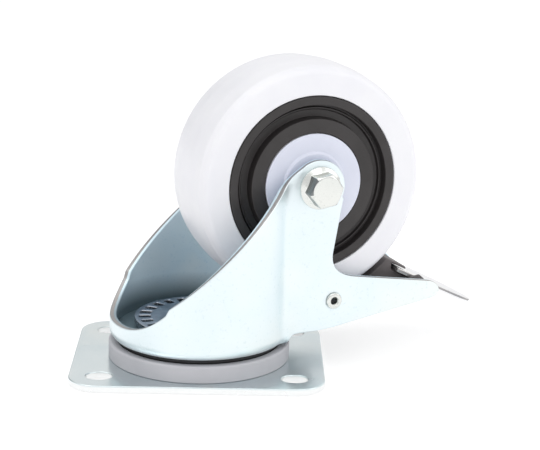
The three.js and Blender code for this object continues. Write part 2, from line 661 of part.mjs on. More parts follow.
place(turning, 'brake_lever', 'steel', brakeLever());
place(turning, 'brake_shoe', 'blackPlastic', brakeShoe());
place(turning, 'lock_pawl', 'steel', lockPawl());
for (const [side, word] of [[-1, 'left'], [1, 'right']]) {
  const high = WEB.bottom + WEB.thickness + PAWL.thickness + 1.2;
  const rivet = rivetZ(PAWL_RIVET.x, side * PAWL_RIVET.y, WEB.bottom - 1, high);
  place(turning, `pawl_rivet_${word}`, 'steel', rivet);
}
place(turning, 'detent_spring', 'steel', detentSpring());
place(turning, 'spring_rivet', 'steel', springRivet());

export default castor;
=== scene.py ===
"""A swivel plate castor with a foot brake, standing on its plate with the wheel up.

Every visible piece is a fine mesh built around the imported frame. Sizes are in millimetres and are
turned into metres by the frames at the top. The fork and all it carries are drawn in a frame with
+X along the trail and Y along the axle, which the wheel's joint places.
"""
import json
import math

import bmesh
import bpy
import numpy as np
from mathutils import Matrix, Vector
from mathutils.geometry import delaunay_2d_cdt


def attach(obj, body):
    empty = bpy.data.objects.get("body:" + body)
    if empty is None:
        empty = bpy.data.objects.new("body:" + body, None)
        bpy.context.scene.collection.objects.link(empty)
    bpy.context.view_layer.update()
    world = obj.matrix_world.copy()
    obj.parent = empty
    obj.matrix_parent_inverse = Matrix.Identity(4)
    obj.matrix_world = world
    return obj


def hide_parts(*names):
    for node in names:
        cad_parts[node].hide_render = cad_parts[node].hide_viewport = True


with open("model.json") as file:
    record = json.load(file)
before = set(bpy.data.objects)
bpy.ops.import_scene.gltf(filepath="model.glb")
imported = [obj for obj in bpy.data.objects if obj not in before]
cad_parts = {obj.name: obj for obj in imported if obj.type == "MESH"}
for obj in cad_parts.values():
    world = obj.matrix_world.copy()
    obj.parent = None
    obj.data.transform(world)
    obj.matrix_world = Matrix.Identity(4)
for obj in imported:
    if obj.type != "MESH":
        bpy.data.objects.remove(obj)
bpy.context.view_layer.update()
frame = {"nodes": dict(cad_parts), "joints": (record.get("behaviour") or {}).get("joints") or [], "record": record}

# ---- frames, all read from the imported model's joints ---------------------------------------

MM = 0.001
JOINTS = {joint["name"]: joint for joint in frame["joints"]}
AXLE_AXIS = JOINTS["wheel_spin"]["axis"]
AXLE_POINT = JOINTS["wheel_spin"]["pos_m"]
PIVOT_POINT = JOINTS["brake_press"]["pos_m"]
YAW = math.atan2(-AXLE_AXIS[0], AXLE_AXIS[1])
TRAIL = math.hypot(AXLE_POINT[0], AXLE_POINT[1]) / MM
AXLE_HEIGHT = AXLE_POINT[2] / MM
PIVOT_X = math.hypot(PIVOT_POINT[0], PIVOT_POINT[1]) / MM
PIVOT_Z = PIVOT_POINT[2] / MM

ROW = Matrix.Scale(MM, 4)
FORK = Matrix.Rotation(YAW, 4, "Z") @ ROW
AXLE = FORK @ Matrix.Translation((TRAIL, 0, AXLE_HEIGHT))
PIVOT = FORK @ Matrix.Translation((PIVOT_X, 0, PIVOT_Z))

# ---- sizes, in millimetres ------------------------------------------------------------------

GAP = 0.3  # play between pieces that move past each other
PLATE = dict(length=105, width=85, thickness=3, corner=12.5, pitch_x=80, pitch_y=60)
SLOT = dict(length=11, width=9)
RACE = dict(inner=20, outer=32, top=7.5)
SEAL = dict(inner=33.8, outer=38.2, bottom=3.02, top=10.2)
LIP = dict(inner=31, outer=33.8, bottom=8.1, flare=34.6)
PIN = dict(radius=6, head=10.5, head_height=3.2, rivet_head=9.5, rivet_top=24.2)
DISC = dict(radius=27.4, bottom=17.5, top=20, slots=24, slot_in=20.5, slot_out=25.5,
            slot_width=3.4)
SHEET = 3
DRUM = dict(radius=37.8, bottom=12.3, bore=8, bend=6, bottom_bend=2.2, rim=20.7)
WING = dict(outer=25.7, end=11.4, reach=110)
PIVOT_HOLE = 3.2
WHEEL = dict(radius=50, half=19, bore=16.3, hub=21.2, face=46.5, recess=8)
GUARD = dict(outer=36.7, inner=21.5, floor=5, ledge=3, groove=4)
HUB_CAP = dict(bore=8.6, boss=13.8, outer=21.2, rise=0.7, boss_rise=0.8)
BOLT = dict(radius=4, flats=13, head=8, flange=8.95, flange_edge=1.2, nut=7, tail=2, turn=9)
THREAD = dict(start=20, pitch=1.25, depth=0.55, run_out=1.2)
WASHER = dict(radius=8.5, thickness=1.6)
PIVOT_RIVET = dict(bore=1.4, shank=2.9, head=3.6)
CHEEK = dict(inner=19.9, outer=21.9)
WEB = dict(left=30, kink=60, right=103, rise=5.2, slope=0.12, bottom=22.6, thickness=2)
TONGUE = dict(slope=0.5, top=80.2, half=16, thickness=1.8, start=84.6, tip=127, nose=20)
SHOE = dict(window=1.8, gap=2.8, half=13, cover=1.7, slit=0.6, low=60, high=79.4, cover_end=90,
            body_end=93)
EAR = dict(left=89.5, right=97.2, peak=94.2, rise=1.3, inner=16.3, outer=17.6, bridge_end=94)
PAWL = dict(left=20.6, right=44, half=8, thickness=1.6, tooth=2.4, tooth_in=21.4, tooth_out=23.4,
            tooth_tip=20.45)
PAWL_RIVET = dict(x=38, y=6)
SPRING = dict(half=5, thickness=0.8, foot_left=28.6, foot_right=36, bend=47.8, end=52)
SPRING_RIVET_X = 32.4
SMALL_RIVET = dict(shank=1.5, head=2.6, rise=0.7, hole=1.8)

# ---- mesh building --------------------------------------------------------------------------

SHARP = 40  # degrees between two faces from which their edge stays sharp
OUTER, EDGE, INNER = range(3)  # material zones of a mesh; a plain piece has only the first
SHEAR_DEPTH = 0.2  # how far a sheared rim reaches past a sheet's middle, in half thicknesses


def finished(name, bm, placing, sharp=SHARP):
    """A smooth-shaded object from a bmesh drawn in millimetres."""
    bmesh.ops.remove_doubles(bm, verts=bm.verts, dist=1e-4)
    bmesh.ops.dissolve_degenerate(bm, edges=bm.edges, dist=1e-5)
    bmesh.ops.recalc_face_normals(bm, faces=bm.faces)
    mesh = bpy.data.meshes.new(name)
    bm.to_mesh(mesh)
    bm.free()
    mesh.transform(placing)
    mesh.shade_smooth()
    mesh.set_sharp_from_angle(angle=math.radians(sharp))
    for _ in (OUTER, EDGE, INNER):
        mesh.materials.append(None)
    piece = bpy.data.objects.new(name, mesh)
    bpy.context.scene.collection.objects.link(piece)
    return piece


def rounded(points, radius, steps=4):
    """A closed outline with rounded corners. A third number in a point is that corner's own
    radius."""
    out = []
    for i, point in enumerate(points):
        own = point[2] if len(point) > 2 else radius
        corner = Vector(point[:2])
        back = Vector(points[i - 1][:2]) - corner
        ahead = Vector(points[(i + 1) % len(points)][:2]) - corner
        half = back.angle(ahead) / 2
        if own <= 0 or half > math.pi / 2 - 0.02:
            out.append(tuple(corner))
            continue
        reach = min(own / math.tan(half), 0.49 * back.length, 0.49 * ahead.length)
        own = reach * math.tan(half)
        middle = (back.normalized() + ahead.normalized()).normalized()
        centre = corner + middle * own / math.sin(half)
        start = corner + back.normalized() * reach - centre
        end = corner + ahead.normalized() * reach - centre
        first = math.atan2(start.y, start.x)
        sweep = (math.atan2(end.y, end.x) - first + math.pi) % (2 * math.pi) - math.pi
        for k in range(steps + 1):
            angle = first + sweep * k / steps
            out.append((centre.x + own * math.cos(angle), centre.y + own * math.sin(angle)))
    return out


def arc(cx, cy, radius, start, end, steps):
    """Points on an arc, angles in radians."""
    angles = np.linspace(start, end, steps + 1)
    return [(cx + radius * math.cos(a), cy + radius * math.sin(a)) for a in angles]


def curve(a, b, c, steps=8):
    """Points on a quadratic curve from a to c, drawn towards b, without its first point."""
    return [tuple((1 - t) ** 2 * np.array(a) + 2 * t * (1 - t) * np.array(b) + t * t * np.array(c))
            for t in np.linspace(0, 1, steps + 1)[1:]]


def revolve(name, profile, segments, placing, axis="Y", sharp=SHARP):
    """A closed profile of (radius, height) turned about Y or Z."""
    bm = bmesh.new()
    rings = []
    for i in range(segments):
        angle = 2 * math.pi * i / segments
        c, s = math.cos(angle), math.sin(angle)
        if axis == "Z":
            points = [(r * c, r * s, h) for r, h in profile]
        else:
            points = [(r * c, h, r * s) for r, h in profile]
        rings.append([bm.verts.new(point) for point in points])
    for i, ring in enumerate(rings):
        following = rings[(i + 1) % segments]
        for j in range(len(profile)):
            k = (j + 1) % len(profile)
            if profile[j][0] + profile[k][0] > 1e-6:
                bm.faces.new((ring[j], following[j], following[k], ring[k]))
    return finished(name, bm, placing, sharp)


def inside(points, loops):
    """Which points lie inside the closed loops, counting holes as outside."""
    hit = np.zeros(len(points), bool)
    x, y = points[:, 0], points[:, 1]
    for loop in loops:
        here = np.array(loop)
        for (x0, y0), (x1, y1) in zip(here, np.roll(here, -1, axis=0)):
            if y0 != y1:
                crossing = (y0 > y) != (y1 > y)
                hit ^= crossing & (x < (x1 - x0) * (y - y0) / (y1 - y0) + x0)
    return hit


def triangulated(loops, spacing):
    """Triangles that fill the loops, with a grid of inner points where spacing isn't zero."""
    ring_points = np.concatenate([np.array(loop) for loop in loops])
    edges, first = [], 0
    for loop in loops:
        edges += [(first + i, first + (i + 1) % len(loop)) for i in range(len(loop))]
        first += len(loop)
    points = ring_points
    if spacing:
        low, high = ring_points.min(0), ring_points.max(0)
        grid = np.stack(np.meshgrid(np.arange(low[0], high[0], spacing),
                                    np.arange(low[1], high[1], spacing)), -1).reshape(-1, 2)
        grid = grid[inside(grid, loops)]
        nearest = np.array([np.hypot(*(ring_points - g).T).min() for g in grid])
        points = np.concatenate([ring_points, grid[nearest > 0.6 * spacing]])
    verts, _, tris, *_ = delaunay_2d_cdt([Vector(p) for p in points], edges, [], 0, 1e-7)
    verts = np.array([tuple(v) for v in verts])
    centres = np.array([verts[list(t)].mean(0) for t in tris])
    keep = inside(centres, loops)
    return verts, [t for t, k in zip(tris, keep) if k]


def moved_in(loop, normals, distance):
    """A closed loop moved against its outward normals."""
    return [(x - nx * distance, y - ny * distance) for (x, y), (nx, ny) in zip(loop, normals)]


def rim_zone(level, steps):
    """Material zone of one band of a sheet's rim, counted from the outer face."""
    if level > steps:
        return INNER
    return EDGE if level >= steps - 1 else OUTER


def sheet(name, loops, thickness, edge, bend, placing, spacing=0, steps=3, sharp=SHARP):
    """A sheet whose rims are rounded by edge. The first loop is its outline, counter-clockwise, the
    rest are holes, clockwise. bend(u, v, d) places a point u, v of the outline at height d over the
    middle. spacing is that of the points inside the faces, for a sheet that bend curves."""
    bm = bmesh.new()
    half = thickness / 2
    heights = [(edge * (1 - math.cos(a)), half - edge + edge * math.sin(a))
               for a in np.linspace(math.pi / 2, 0, steps + 1)]
    lower = [(inset, -height) for inset, height in reversed(heights)]
    heights += [(0, -SHEAR_DEPTH * half)] + lower
    caps = {0: [], len(heights) - 1: []}
    for loop in loops:
        here = np.array(loop, float)
        along = np.roll(here, -1, axis=0) - np.roll(here, 1, axis=0)
        along /= np.linalg.norm(along, axis=1)[:, None]
        normals = np.stack([along[:, 1], -along[:, 0]], -1)
        rows = []
        for level, (inset, height) in enumerate(heights):
            ring = moved_in(loop, normals, inset)
            rows.append([bm.verts.new(bend(u, v, height)) for u, v in ring])
            if level in caps:
                caps[level].append(ring)
        for level, (row, below) in enumerate(zip(rows, rows[1:])):
            for i in range(len(row)):
                k = (i + 1) % len(row)
                face = bm.faces.new((row[i], row[k], below[k], below[i]))
                face.material_index = rim_zone(level, steps)
    for level, rings in caps.items():
        verts, tris = triangulated(rings, spacing)
        made = [bm.verts.new(bend(u, v, heights[level][1])) for u, v in verts]
        for tri in tris:
            bm.faces.new([made[i] for i in tri]).material_index = INNER if level else OUTER
    return finished(name, bm, placing, sharp)


def flat_plan(z):
    """Lays a sheet flat, its middle at height z."""
    return lambda u, v, d: (u, v, z + d)


def flat_side(y):
    """Stands a sheet up in the X-Z plane, its middle at y."""
    return lambda u, v, d: (u, y + d, v)


def union(base, *others):
    """Joins closed meshes into one."""
    for other in others:
        step = base.modifiers.new("join", "BOOLEAN")
        step.operation = "UNION"
        step.solver = "EXACT"
        step.object = other
        bpy.context.view_layer.objects.active = base
        bpy.ops.object.modifier_apply(modifier=step.name)
        bpy.data.objects.remove(other)
    base.data.shade_smooth()
    base.data.set_sharp_from_angle(angle=math.radians(SHARP))
    return base


def hole(x, y, radius, steps=32):
    """A round hole's loop, clockwise."""
    return arc(x, y, radius, 0, -2 * math.pi * (1 - 1 / steps), steps - 1)


def slot_loop(x, y, length, width, steps=10):
    """A slot's loop, long along X, clockwise."""
    r, reach = width / 2, (length - width) / 2
    right = arc(x + reach, y, r, math.pi / 2, -math.pi / 2, steps)
    left = arc(x - reach, y, r, -math.pi / 2, -3 * math.pi / 2, steps)
    return right + left


def dense(loop, spacing):
    """The same closed loop with no step longer than spacing."""
    out = []
    for (x0, y0), (x1, y1) in zip(loop, loop[1:] + loop[:1]):
        count = max(1, math.ceil(math.hypot(x1 - x0, y1 - y0) / spacing))
        out += [(x0 + (x1 - x0) * k / count, y0 + (y1 - y0) * k / count) for k in range(count)]
    return out


def hand_in(piece, body, material, *nodes, edge=None, inside=None):
    """Puts a piece on its body, in its material and in place of its CAD nodes. edge is the material
    of a sheet's sheared rims, which on the lock disc are a painted highlight, or of a hexagon's
    flats in painted dark reflection; inside is that of a bent sheet's inner face, which in the
    fork's drum carries painted shade."""
    zones = [material, edge or material, inside or material]
    used = list(dict.fromkeys(zones))
    for polygon in piece.data.polygons:
        polygon.material_index = used.index(zones[polygon.material_index])
    while len(piece.data.materials) > len(used):
        piece.data.materials.pop()
    for i, one in enumerate(used):
        piece.data.materials[i] = one
    flatter = piece.modifiers.new("flat faces stay flat", "WEIGHTED_NORMAL")
    flatter.keep_sharp = True
    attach(piece, body)
    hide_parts(*nodes)


# ---- materials ------------------------------------------------------------------------------


def new_material(name):
    """A new material with its nodes, links and shader."""
    material = bpy.data.materials.new(name)
    material.use_nodes = True
    nodes = material.node_tree.nodes
    return material, nodes, material.node_tree.links, nodes["Principled BSDF"]


def noise(nodes, links, scale, detail=3, roughness=0.5, stretch=None):
    """Noise in the object's own coordinates, scale in repeats per metre."""
    where = nodes.new("ShaderNodeTexCoord")
    texture = nodes.new("ShaderNodeTexNoise")
    texture.inputs["Scale"].default_value = scale
    texture.inputs["Detail"].default_value = detail
    texture.inputs["Roughness"].default_value = roughness
    if stretch:
        mapping = nodes.new("ShaderNodeMapping")
        mapping.inputs["Scale"].default_value = stretch
        links.new(where.outputs["Object"], mapping.inputs["Vector"])
        links.new(mapping.outputs["Vector"], texture.inputs["Vector"])
    else:
        links.new(where.outputs["Object"], texture.inputs["Vector"])
    return texture.outputs["Fac"]


def ramp(nodes, links, value, stops):
    """A colour ramp; stops are (place, colour)."""
    node = nodes.new("ShaderNodeValToRGB")
    elements = node.color_ramp.elements
    while len(elements) < len(stops):
        elements.new(0.5)
    for element, (place, colour) in zip(elements, stops):
        element.position = place
        element.color = (*colour, 1)
    links.new(value, node.inputs["Fac"])
    return node.outputs["Color"]


def span(nodes, links, value, low, high, start=0.3, end=0.7):
    """Maps a noise value onto a range."""
    node = nodes.new("ShaderNodeMapRange")
    node.inputs["From Min"].default_value = start
    node.inputs["From Max"].default_value = end
    node.inputs["To Min"].default_value = low
    node.inputs["To Max"].default_value = high
    links.new(value, node.inputs["Value"])
    return node.outputs["Result"]


def bumps(nodes, links, shader, layers):
    """Chains bump layers; each is (height value, strength, distance in metres)."""
    normal = None
    for height, strength, distance in layers:
        bump = nodes.new("ShaderNodeBump")
        bump.inputs["Strength"].default_value = strength
        bump.inputs["Distance"].default_value = distance
        links.new(height, bump.inputs["Height"])
        if normal:
            links.new(normal, bump.inputs["Normal"])
        normal = bump.outputs["Normal"]
    links.new(normal, shader.inputs["Normal"])


def mixed(nodes, links, factor, first, second):
    """Mixes two colour outputs."""
    node = nodes.new("ShaderNodeMix")
    node.data_type = "RGBA"
    links.new(factor, node.inputs["Factor"])
    links.new(first, node.inputs["A"])
    links.new(second, node.inputs["B"])
    return node.outputs["Result"]


def zinc(name, light, deep, warm, rough=(0.16, 0.26), grain=0.06, foot=None, metallic=1.0):
    """Blue-passivated zinc plate on pressed steel: a slow clouded tint, faint specks, fine sheet
    grain. foot is (height, softness, colour): below that height, in metres, the surface takes that
    colour; it is painted shade low in the fork's drum and painted light on the plate's sides."""
    material, nodes, links, shader = new_material(name)
    clouds = noise(nodes, links, 22, detail=3, roughness=0.5)
    tint = ramp(nodes, links, clouds, [(0.34, light), (0.55, deep), (0.74, warm)])
    specks = noise(nodes, links, 700, detail=2, roughness=0.7)
    dulled = ramp(nodes, links, specks, [(0.28, tuple(0.9 * c for c in deep)), (0.4, (1, 1, 1))])
    blend = nodes.new("ShaderNodeMix")
    blend.data_type = "RGBA"
    blend.blend_type = "MULTIPLY"
    blend.inputs["Factor"].default_value = 0.3
    links.new(tint, blend.inputs["A"])
    links.new(dulled, blend.inputs["B"])
    colour = blend.outputs["Result"]
    # The foot's colour is painted: shade in the fork's drum, light on the plate's sides.
    if foot:
        height, softness, own = foot
        where = nodes.new("ShaderNodeTexCoord")
        split = nodes.new("ShaderNodeSeparateXYZ")
        links.new(where.outputs["Object"], split.inputs["Vector"])
        low = span(nodes, links, split.outputs["Z"], 1, 0, height - softness, height)
        speckled = ramp(nodes, links, specks, [(0.3, own), (0.6, tuple(0.97 * c for c in own))])
        colour = mixed(nodes, links, low, colour, speckled)
    links.new(colour, shader.inputs["Base Color"])
    shader.inputs["Metallic"].default_value = metallic
    patches = noise(nodes, links, 60, detail=3, roughness=0.5)
    links.new(span(nodes, links, patches, *rough), shader.inputs["Roughness"])
    drawn = noise(nodes, links, 160, detail=2, stretch=(1, 1, 0.1))
    pits = noise(nodes, links, 1500, detail=2, roughness=0.6)
    ripple = noise(nodes, links, 26, detail=1)
    bumps(nodes, links, shader,
          [(ripple, 0.25, 0.0004), (drawn, grain, 0.00012), (pits, grain, 0.00004)])
    return material


def steel(name, light, deep, rough=(0.15, 0.3), grain=0.1):
    """Ground or turned steel with fine scratches."""
    material, nodes, links, shader = new_material(name)
    clouds = noise(nodes, links, 140, detail=4)
    links.new(ramp(nodes, links, clouds, [(0.35, light), (0.7, deep)]), shader.inputs["Base Color"])
    shader.inputs["Metallic"].default_value = 1.0
    patches = noise(nodes, links, 300, detail=4)
    links.new(span(nodes, links, patches, *rough), shader.inputs["Roughness"])
    scratches = noise(nodes, links, 700, detail=3, stretch=(1, 0.08, 1))
    bumps(nodes, links, shader, [(scratches, grain, 0.00008)])
    return material


def moulded(name, light, deep, rough=(0.35, 0.5), texture=0.15, glow=0.0, speck=1200):
    """Moulded plastic: faint flow marks, fine spark-eroded texture, a slight depth of colour."""
    material, nodes, links, shader = new_material(name)
    flow = noise(nodes, links, 60, detail=3, roughness=0.55)
    links.new(ramp(nodes, links, flow, [(0.35, light), (0.7, deep)]), shader.inputs["Base Color"])
    patches = noise(nodes, links, 150, detail=4)
    links.new(span(nodes, links, patches, *rough), shader.inputs["Roughness"])
    shader.inputs["IOR"].default_value = 1.5
    if glow:
        shader.inputs["Subsurface Weight"].default_value = glow
        shader.inputs["Subsurface Radius"].default_value = (1.0, 0.95, 1.0)
        shader.inputs["Subsurface Scale"].default_value = 0.002
    sink = noise(nodes, links, 40, detail=1)
    skin = noise(nodes, links, speck, detail=2, roughness=0.6)
    bumps(nodes, links, shader, [(sink, 0.2, 0.0003), (skin, texture, 0.00005)])
    return material


FORK_ZINC = zinc("fork_zinc", (0.82, 0.895, 0.92), (0.78, 0.87, 0.90), (0.84, 0.885, 0.87),
                 rough=(0.3, 0.4), metallic=0.85)
# The drum's inner faces: a bluer, less metallic copy of the fork's zinc that paints in the bluish light inside the
# drum, with a foot of painted shade that darkens it towards the drum's bottom.
FORK_INSIDE_PAINTED_SHADE = zinc("fork_inside_painted_shade", (0.76, 0.91, 0.98), (0.68, 0.85, 0.94), (0.80, 0.91, 0.94),
                   rough=(0.36, 0.46), foot=(0.029, 0.011, (0.15, 0.21, 0.24)), metallic=0.35)
SHEARED_EDGE = zinc("sheared_edge", (0.42, 0.40, 0.39), (0.30, 0.30, 0.31), (0.50, 0.46, 0.44),
                    rough=(0.3, 0.45), grain=0.2, metallic=0.7)
# Below 2.7 mm the plate's zinc turns paler: painted light on the plate's sides, slot walls and underside.
PLATE_ZINC_PAINTED_LIGHT = zinc("plate_zinc", (0.80, 0.86, 0.87), (0.72, 0.80, 0.82), (0.83, 0.86, 0.84),
                  rough=(0.18, 0.28), grain=0.1, foot=(0.0027, 0.0006, (0.86, 0.87, 0.87)))
BOLT_ZINC = zinc("bolt_zinc", (0.77, 0.78, 0.75), (0.70, 0.72, 0.70), (0.79, 0.79, 0.75))
# Dark zinc for two flats of the bolt's head and of the nut: a painted dark reflection.
BOLT_PAINTED_REFLECTION = zinc("bolt_painted_reflection", (0.26, 0.28, 0.28), (0.13, 0.14, 0.15), (0.33, 0.34, 0.32),
                  rough=(0.2, 0.34), grain=0.2)
LEVER_STEEL = zinc("lever_steel", (0.93, 0.93, 0.94), (0.86, 0.86, 0.88), (0.93, 0.92, 0.90),
                   rough=(0.25, 0.38))
BRIGHT_STEEL = steel("bright_steel", (0.74, 0.75, 0.77), (0.62, 0.63, 0.66))
DARK_STEEL = steel("dark_steel", (0.16, 0.19, 0.23), (0.08, 0.10, 0.13), rough=(0.3, 0.5))
DISC_STEEL = steel("disc_steel", (0.42, 0.48, 0.56), (0.26, 0.31, 0.38), rough=(0.3, 0.45))
WHITE_PLASTIC = moulded("white_plastic", (0.83, 0.83, 0.86), (0.80, 0.80, 0.84),
                        rough=(0.28, 0.42), texture=0.1, glow=0.2)
LILAC_PLASTIC = moulded("lilac_plastic", (0.70, 0.72, 0.83), (0.66, 0.68, 0.79),
                        rough=(0.35, 0.5), texture=0.12, glow=0.1)
GREY_PLASTIC = moulded("grey_plastic", (0.49, 0.49, 0.52), (0.45, 0.45, 0.48), rough=(0.45, 0.6))
# Black rubber for the seal's lip; its black also paints the shade in the gap under the fork's crown.
RUBBER_AND_GAP_SHADE = moulded("black_rubber_and_gap_shade", (0.018, 0.019, 0.021), (0.012, 0.012, 0.014),
                 rough=(0.5, 0.65), texture=0.2)
BLACK_PLASTIC = moulded("black_plastic", (0.032, 0.028, 0.028), (0.022, 0.019, 0.019),
                        rough=(0.38, 0.52), texture=0.2)
SHOE_PLASTIC = moulded("shoe_plastic", (0.13, 0.115, 0.115), (0.09, 0.08, 0.08),
                       rough=(0.45, 0.6), texture=0.3, speck=900)

# ---- plate and swivel head ------------------------------------------------------------------


def build_top_plate():
    """Plate with four slots and a ball race pressed up round its centre."""
    half_x, half_y = PLATE["length"] / 2, PLATE["width"] / 2
    corners = [(-half_x, -half_y), (half_x, -half_y), (half_x, half_y), (-half_x, half_y)]
    outline = dense(rounded(corners, PLATE["corner"], 12), 4)
    outer = RACE["outer"] + 1.2
    thickness = PLATE["thickness"]
    loops = [outline, hole(0, 0, outer - 1, 72)]
    for sx in (-1, 1):
        for sy in (-1, 1):
            loops.append(slot_loop(sx * PLATE["pitch_x"] / 2, sy * PLATE["pitch_y"] / 2,
                                   SLOT["length"], SLOT["width"]))
    slab = sheet("top_plate", loops, thickness, 0.45, flat_plan(thickness / 2), ROW)
    profile = rounded([
        (6.5, thickness, 0.2), (RACE["inner"] - 2, thickness, 1), (RACE["inner"], RACE["top"], 1),
        (RACE["outer"], RACE["top"], 1), (outer, thickness, 0.3), (outer, 0.0, 0.1),
        (31.2, 0, 0.8), (29.6, 4.5, 1), (22.8, 4.5, 1), (20.8, 0, 0.8), (10.8, 0, 0.1)], 0.3)
    centre = revolve("plate_centre", profile, 96, ROW, "Z")
    hand_in(union(slab, centre), "plate", PLATE_ZINC_PAINTED_LIGHT, "top_plate")


def build_seal():
    """Plastic ring round the swivel head, with a step inside its top for the lip."""
    inner, outer, bottom, top = (SEAL[k] for k in ("inner", "outer", "bottom", "top"))
    profile = rounded([
        (inner, bottom), (outer, bottom, 0.4), (outer, top, 1.0), (inner + 0.9, top, 0.3),
        (inner + 0.7, top - 0.8, 0.3), (inner, top - 0.8, 0.2)], 0.2)
    ring = revolve("dust_seal_ring", profile, 128, ROW, "Z")
    hand_in(ring, "plate", GREY_PLASTIC, "dust_seal_ring")


def build_lip():
    """Soft lip that closes the space between the seal ring and the fork's crown."""
    ledge, top = SEAL["top"] + GAP, DRUM["bottom"] - GAP
    profile = rounded([
        (LIP["inner"], LIP["bottom"]), (LIP["outer"], LIP["bottom"]), (LIP["outer"], ledge, 0.1),
        (LIP["flare"], ledge, 0.1), (LIP["flare"], top), (LIP["inner"], top)], 0.25)
    # The lip is black rubber, and its black also paints the shade in the narrow gap under the fork's crown.
    hand_in(revolve("dust_seal_lip", profile, 128, ROW, "Z"), "plate", RUBBER_AND_GAP_SHADE, "dust_seal_lip")


def build_king_pin():
    """Countersunk head flush with the mounting face, and a head riveted over the lock disc."""
    radius, head, top = PIN["radius"], PIN["rivet_head"], PIN["rivet_top"]
    seat = DISC["top"] + GAP
    profile = rounded([
        (0, 0, 0), (PIN["head"], 0, 0.2), (radius, PIN["head_height"], 0.3), (radius, seat, 0.2),
        (head, seat, 0.4), (head - 0.6, top - 1.8, 1.2), (5.2, top - 0.4, 1.5),
        (4.2, top - 0.9, 0.6), (0, top - 1.0, 0)], 0.2)
    hand_in(revolve("king_pin", profile, 64, ROW, "Z"), "plate", BRIGHT_STEEL, "king_pin")


def build_lock_disc():
    """Toothed disc with a window for the pawl between each pair of teeth."""
    steps = 96
    rim = arc(0, 0, DISC["radius"], 0, 2 * math.pi * (steps - 1) / steps, steps - 1)
    loops = [rim, hole(0, 0, PIN["radius"] + GAP, 48)]
    near, far, wide = DISC["slot_in"], DISC["slot_out"], DISC["slot_width"] / 2
    slot = rounded([(near, wide), (far, wide), (far, -wide), (near, -wide)], 0.7, 3)
    for i in range(DISC["slots"]):
        turn = YAW + 2 * math.pi * i / DISC["slots"]
        c, s = math.cos(turn), math.sin(turn)
        loops.append([(c * x - s * y, s * x + c * y) for x, y in slot])
    thickness = DISC["top"] - DISC["bottom"]
    middle = flat_plan(DISC["bottom"] + thickness / 2)
    disc = sheet("swivel_lock_disc", loops, thickness, 0.4, middle, ROW)
    # The rims of the disc, its slots and its hole take bright steel: painted highlights along them.
    hand_in(disc, "plate", DISC_STEEL, "swivel_lock_disc", edge=BRIGHT_STEEL)


# ---- fork -----------------------------------------------------------------------------------


def half_contour():
    """The middle of the fork's sheet in plan, from the drum's back to a wing's tail: rows of
    (length along the sheet, x, y, normal x, normal y) on the +Y side."""
    radius = DRUM["radius"] - SHEET / 2
    half = WING["outer"] - SHEET / 2
    bend = DRUM["bend"] + SHEET / 2
    centre_y = half + bend
    centre_x = math.sqrt((radius + bend) ** 2 - centre_y ** 2)
    meet = math.atan2(centre_y, centre_x)
    rows = []
    for angle in np.linspace(math.pi, meet, 60):
        normal = (math.cos(angle), math.sin(angle))
        rows.append((radius * (math.pi - angle), radius * normal[0], radius * normal[1], *normal))
    reached = rows[-1][0]
    for turn in np.linspace(meet - math.pi, -math.pi / 2, 16)[1:]:
        along = bend * (turn - (meet - math.pi))
        x, y = centre_x + bend * math.cos(turn), centre_y + bend * math.sin(turn)
        rows.append((reached + along, x, y, -math.cos(turn), -math.sin(turn)))
    reached = rows[-1][0]
    rows.append((reached + WING["reach"] - centre_x, WING["reach"], half, 0.0, 1.0))
    return np.array(rows)


CONTOUR = half_contour()


def fork_bend(u, v, d):
    """Wraps the flat sheet round the drum and along the wings; u runs from the drum's back."""
    side = 1 if u >= 0 else -1
    x, y, nx, ny = (np.interp(abs(u), CONTOUR[:, 0], CONTOUR[:, k]) for k in (1, 2, 3, 4))
    size = math.hypot(nx, ny)
    bend, low = DRUM["bottom_bend"], DRUM["bottom"]
    pivot = SHEET / 2 - bend
    if v < low + bend and d > pivot:
        turn = math.pi / 2 * (low + bend - v) / bend
        reach = d - pivot
        d = pivot + reach * math.cos(turn)
        v = low + bend - reach * math.sin(turn)
    return x + d * nx / size, side * (y + d * ny / size), v


def along_sheet(x):
    """Length along the sheet, from the drum's back, at which its middle is at x."""
    return float(np.interp(x, CONTOUR[:, 1], CONTOUR[:, 0]))


def fork_outline():
    """The sheet unrolled: outline of the fork in length along the sheet and height. The side edges
    are drawn as they are seen from the side, in x and height."""
    low, back = DRUM["bottom"], DRUM["rim"]
    lower = [(30.4, low), (30.6, 13.6)] + curve((30.6, 13.6), (31.5, 16.2), (34.5, 16.3))
    lower += [(43.9, 16.7)] + curve((43.9, 16.7), (50, 17.2), (56.2, 18.6)) + [(95.6, 26.1)]
    tail = curve((95.6, 26.1), (100, 27), (99.6, 30))
    tail += curve((99.6, 30), (98.8, 33.4), (93.5, 34.1))
    upper = [(60, 38.9)] + curve((60, 38.9), (48.6, 40.6), (49.4, 49.5), 12) + [(53.4, 73.2)]
    top = arc(TRAIL, AXLE_HEIGHT, WING["end"], -0.42, 2.3, 30)
    rim = curve(top[-1], (29.6, 83.6), (26, 79.2), 10) + [(-22.9, 33.2), (-23.3, 31.2)]
    rim += curve((-23.3, 31.2), (-31.2, 21.3), (-36, back), 16) + [(-38, back)]
    straight_from = 25.3
    edge = lower + tail + upper + top + rim
    wing = [(along_sheet(x), z) for x, z in edge if x > straight_from]
    rim_x, rim_z = [p[0] for p in reversed(rim)], [p[1] for p in reversed(rim)]
    drum = []
    for u in np.arange(math.floor(wing[-1][0]), 0, -1.5):
        x = np.interp(u, CONTOUR[:, 0], CONTOUR[:, 1])
        drum.append((u, float(np.interp(x, rim_x, rim_z))))
    half = wing + drum
    mirrored = [(-u, z) for u, z in reversed(half)]
    return dense(half + [(0, back)] + mirrored, 1.5)


